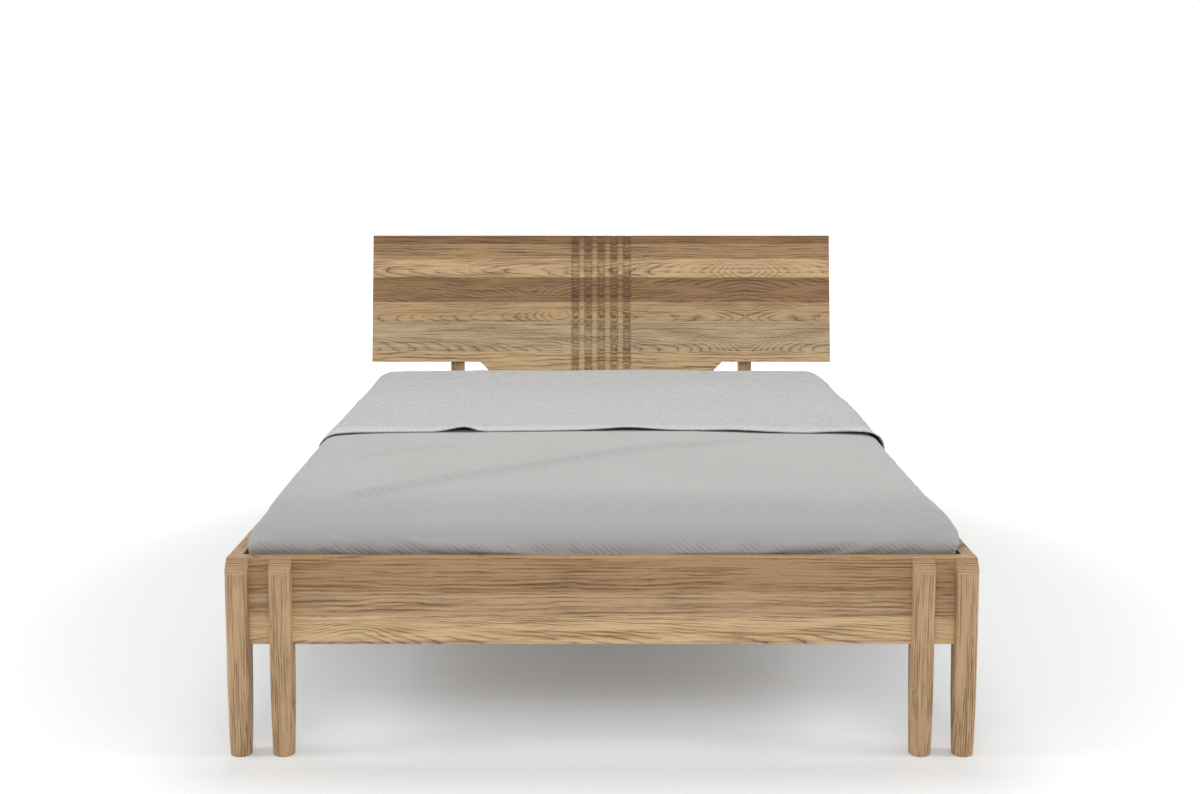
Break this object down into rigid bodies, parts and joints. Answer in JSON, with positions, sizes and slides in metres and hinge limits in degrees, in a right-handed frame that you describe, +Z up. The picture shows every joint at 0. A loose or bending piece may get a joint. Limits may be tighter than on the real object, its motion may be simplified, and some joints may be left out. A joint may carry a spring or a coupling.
{
  "type": "panel bed",
  "caption": "Low solid-oak panel bed with a leaning fluted headboard, paired legs at the corners, a slatted base and a made-up mattress.",
  "frame": {"origin": "on the floor under the middle of the whole bed", "axes": "+X to the right seen from the foot, +Y from the foot to the headboard, +Z up"},
  "size_m": [1.48, 2.1729, 0.9047],
  "materials": {
    "oiled_oak": "solid oak staves of mixed tones, oiled, satin",
    "slat_pine": "planed pine, unfinished",
    "frame_pine": "planed pine, unfinished",
    "dowel_beech": "fluted beech dowel",
    "zinc_steel": "zinc-plated steel",
    "webbing": "woven polyester tape",
    "mattress_ticking": "knitted mattress ticking over foam",
    "grey_spread": "mid grey spread with fine slanting ripples",
    "pale_linen": "light grey linen weave with slubs"
  },
  "bodies": {
    "frame": {"beam_hanger_foot": "zinc_steel", "beam_hanger_head": "zinc_steel", "beam_hanger_screws": "zinc_steel", "centre_beam": "frame_pine", "centre_leg": "oiled_oak", "centre_leg_stud": "zinc_steel", "foot_rail": "oiled_oak", "head_rail": "oiled_oak", "headboard_panel": "oiled_oak", "headboard_post_left": "oiled_oak", "headboard_post_right": "oiled_oak", "headboard_screws": "zinc_steel", "ledger_left": "frame_pine", "ledger_right": "frame_pine", "ledger_screws": "zinc_steel", "leg_dowels": "dowel_beech", "leg_foot_inner_left": "oiled_oak", "leg_foot_inner_right": "oiled_oak", "leg_foot_outer_left": "oiled_oak", "leg_foot_outer_right": "oiled_oak", "leg_head_inner_left": "oiled_oak", "leg_head_inner_right": "oiled_oak", "leg_head_outer_left": "oiled_oak", "leg_head_outer_right": "oiled_oak", "post_bolts": "zinc_steel", "rail_hook_plates": "zinc_steel", "rail_plate_screws": "zinc_steel", "rail_socket_plates": "zinc_steel", "side_rail_left": "oiled_oak", "side_rail_right": "oiled_oak", "slat_01": "slat_pine", "slat_02": "slat_pine", "slat_03": "slat_pine", "slat_04": "slat_pine", "slat_05": "slat_pine", "slat_06": "slat_pine", "slat_07": "slat_pine", "slat_08": "slat_pine", "slat_09": "slat_pine", "slat_10": "slat_pine", "slat_11": "slat_pine", "slat_12": "slat_pine", "slat_13": "slat_pine", "slat_14": "slat_pine", "slat_screws": "zinc_steel", "slat_tape_left": "webbing", "slat_tape_right": "webbing"},
    "bedding": {"mattress": "mattress_ticking", "cover": "grey_spread", "turndown": "pale_linen"}
  },
  "joints": [
    {"name": "mattress_lift", "type": "slide", "parent": "frame", "child": "bedding", "axis": [0, 0, 1], "range_m": [0, 0.3]}
  ]
}
